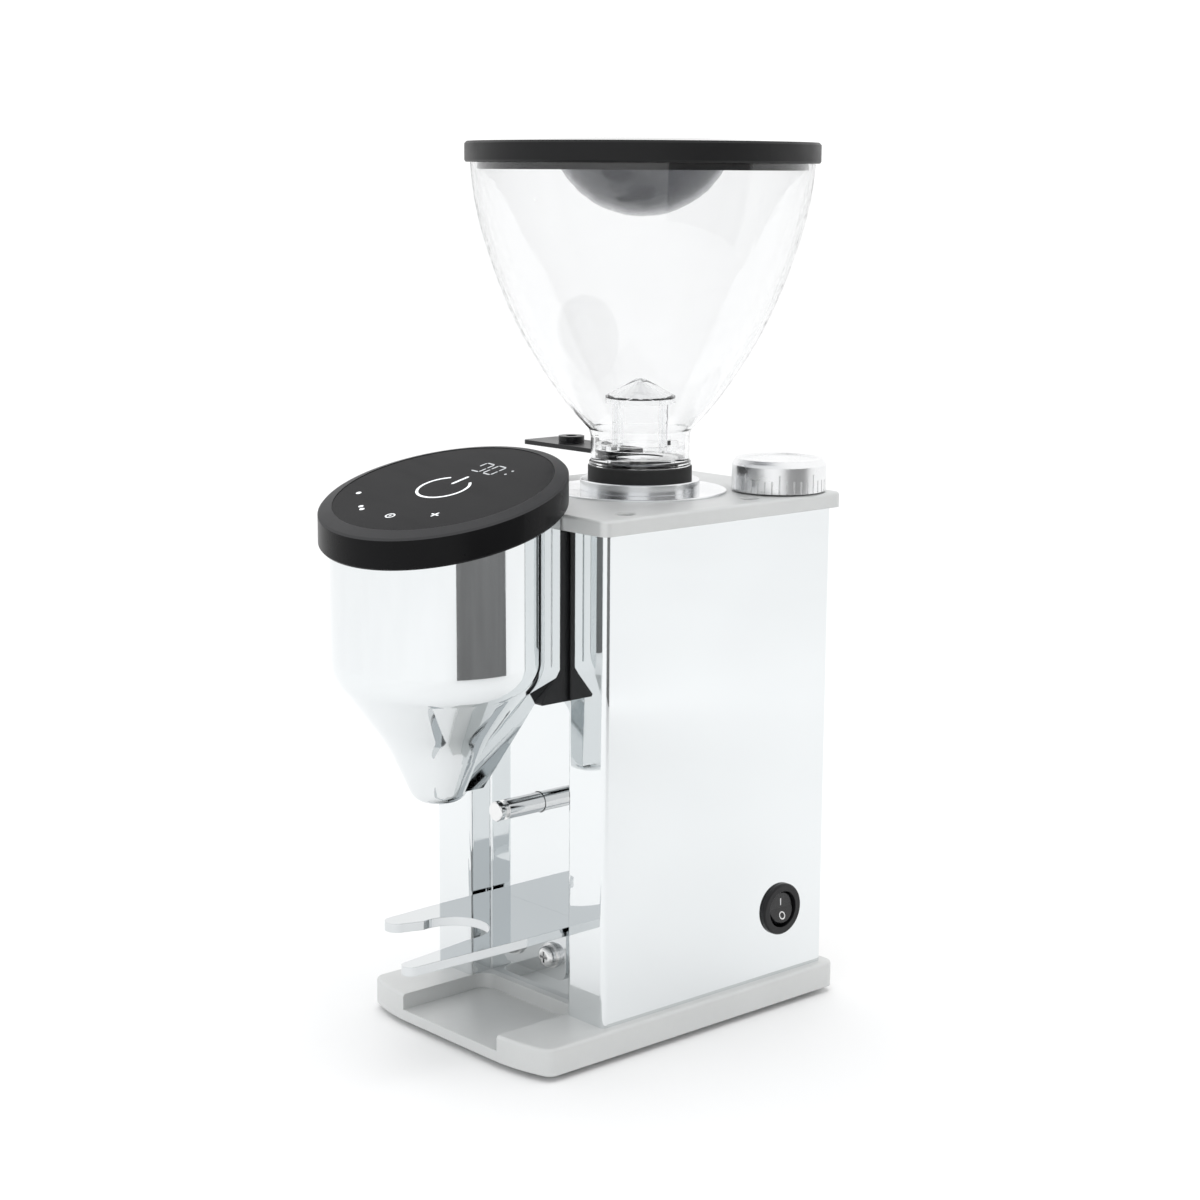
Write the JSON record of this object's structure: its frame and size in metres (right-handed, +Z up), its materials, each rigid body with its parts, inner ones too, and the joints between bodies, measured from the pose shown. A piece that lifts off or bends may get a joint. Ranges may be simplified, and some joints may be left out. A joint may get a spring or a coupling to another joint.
{
  "type": "coffee grinder",
  "caption": "Electric burr coffee grinder: boxy polished case, clear bean hopper with smoked lid, round tilted touch display on the grounds chute, fork rest and start pin.",
  "frame": {"origin": "under the middle of the whole grinder, on the surface its feet stand on", "axes": "+Z up, -Y towards the user (the chute and display side), +X towards the side with the mains switch"},
  "size_m": [0.157, 0.2434, 0.3928],
  "materials": {
    "stainless_mirror": "polished stainless sheet",
    "stainless_satin": "satin stainless",
    "plate_paint": "fine silver powder coat",
    "cast_aluminium": "as cast, machined faces",
    "turned_aluminium": "turned, satin",
    "black_plastic": "fine satin",
    "black_gloss_plastic": "glossy",
    "clear_plastic": "clear, glossy",
    "smoked_plastic": "smoked, glossy",
    "display_glass": "black printed cover glass",
    "rubber": "matte",
    "zinc_steel": "zinc plated",
    "stainless_screw": "machined",
    "tool_steel": "hardened, ground",
    "motor_laminations": "varnished steel laminations",
    "copper_windings": "varnished copper",
    "bearing_steel": "ground",
    "brass": "turned",
    "circuit_board": "solder mask",
    "white_plastic": "satin",
    "grey_plastic": "satin",
    "ribbon": "satin",
    "lead_sleeve": "satin",
    "spring_steel": "drawn wire"
  },
  "bodies": {
    "case": {"base_plate": "plate_paint", "rubber_feet": "rubber", "base_screws": "zinc_steel", "body_shell": "stainless_mirror", "rear_cover": "stainless_satin", "rear_cover_screws": "stainless_screw", "top_plate": "plate_paint", "top_plate_screws": "stainless_screw", "power_inlet": "black_plastic", "rocker_housing": "black_plastic", "grinding_chamber": "cast_aluminium", "chamber_posts": "zinc_steel", "motor_bearings": "bearing_steel", "motor_stator": "motor_laminations", "motor_windings": "copper_windings", "motor_housing": "cast_aluminium", "motor_end_cap": "cast_aluminium", "motor_screws": "zinc_steel", "knob_bush": "brass", "burr_flange": "turned_aluminium", "hopper_collar": "turned_aluminium", "hopper_seal": "rubber", "fork": "stainless_mirror", "fork_screws": "stainless_screw", "pin_bush": "white_plastic", "pin_spring": "spring_steel", "switch_bracket": "zinc_steel", "microswitch": "grey_plastic", "chute_shell": "stainless_mirror", "chute_gasket": "black_plastic", "chute_screws": "zinc_steel", "coffee_duct": "white_plastic", "display_ring": "black_gloss_plastic", "display_glass": "display_glass", "display_board": "circuit_board", "display_cable": "ribbon", "control_board": "circuit_board", "capacitor": "white_plastic", "mains_leads": "lead_sleeve"},
    "hopper": {"hopper_bowl": "clear_plastic", "finger_guard": "clear_plastic"},
    "lid": {"lid_ring": "black_plastic", "lid_dish": "smoked_plastic"},
    "gate": {"gate_slide": "black_plastic"},
    "knob": {"grind_knob": "turned_aluminium", "knob_shaft": "stainless_screw"},
    "adjuster": {"adjusting_ring": "cast_aluminium", "upper_burr_carrier": "turned_aluminium", "upper_burr": "tool_steel", "upper_burr_screws": "zinc_steel"},
    "rotor": {"motor_shaft": "stainless_screw", "motor_rotor": "motor_laminations", "lower_burr_carrier": "turned_aluminium", "lower_burr": "tool_steel", "lower_burr_screws": "zinc_steel", "burr_nut": "brass", "cooling_fan": "grey_plastic"},
    "rocker": {"rocker": "black_gloss_plastic"},
    "pin": {"activation_pin": "stainless_screw"},
    "plunger": {"microswitch_plunger": "white_plastic"}
  },
  "joints": [
    {"name": "hopper_lift", "type": "slide", "parent": "case", "child": "hopper", "axis": [0, 0, 1], "range_m": [0, 0.1]},
    {"name": "lid_lift", "type": "slide", "parent": "hopper", "child": "lid", "axis": [0, 0, 1], "range_m": [0, 0.12]},
    {"name": "gate_push", "type": "slide", "parent": "hopper", "child": "gate", "axis": [1, 0, 0], "range_m": [0, 0.0168]},
    {"name": "knob_turn", "type": "hinge", "parent": "case", "child": "knob", "pos_m": [0.04016, 0.09179, 0.24], "axis": [0, 0, 1], "range_deg": [-150, 150]},
    {"name": "adjuster_turn", "type": "hinge", "parent": "case", "child": "adjuster", "pos_m": [0, 0.04325, 0.216], "axis": [0, 0, 1], "range_deg": [-30.1, 30.1]},
    {"name": "burr_spin", "type": "hinge", "parent": "case", "child": "rotor", "pos_m": [0, 0.04325, 0.15], "axis": [0, 0, 1], "continuous": true},
    {"name": "rocker_tilt", "type": "hinge", "parent": "case", "child": "rocker", "pos_m": [0.0546, 0.07975, 0.0463], "axis": [0, 1, 0], "range_deg": [0, 18]},
    {"name": "pin_press", "type": "slide", "parent": "case", "child": "pin", "axis": [0, 1, 0], "range_m": [0, 0.003], "stiffness_N_per_m": 800, "springref_m": -0.004, "deforming": ["pin_spring"]},
    {"name": "plunger_press", "type": "slide", "parent": "case", "child": "plunger", "axis": [0, 1, 0], "range_m": [0, 0.003]}
  ],
  "couplings": [
    {"joint": "adjuster_turn", "follows": "knob_turn", "ratio": -0.2},
    {"joint": "plunger_press", "follows": "pin_press", "ratio": 1}
  ]
}
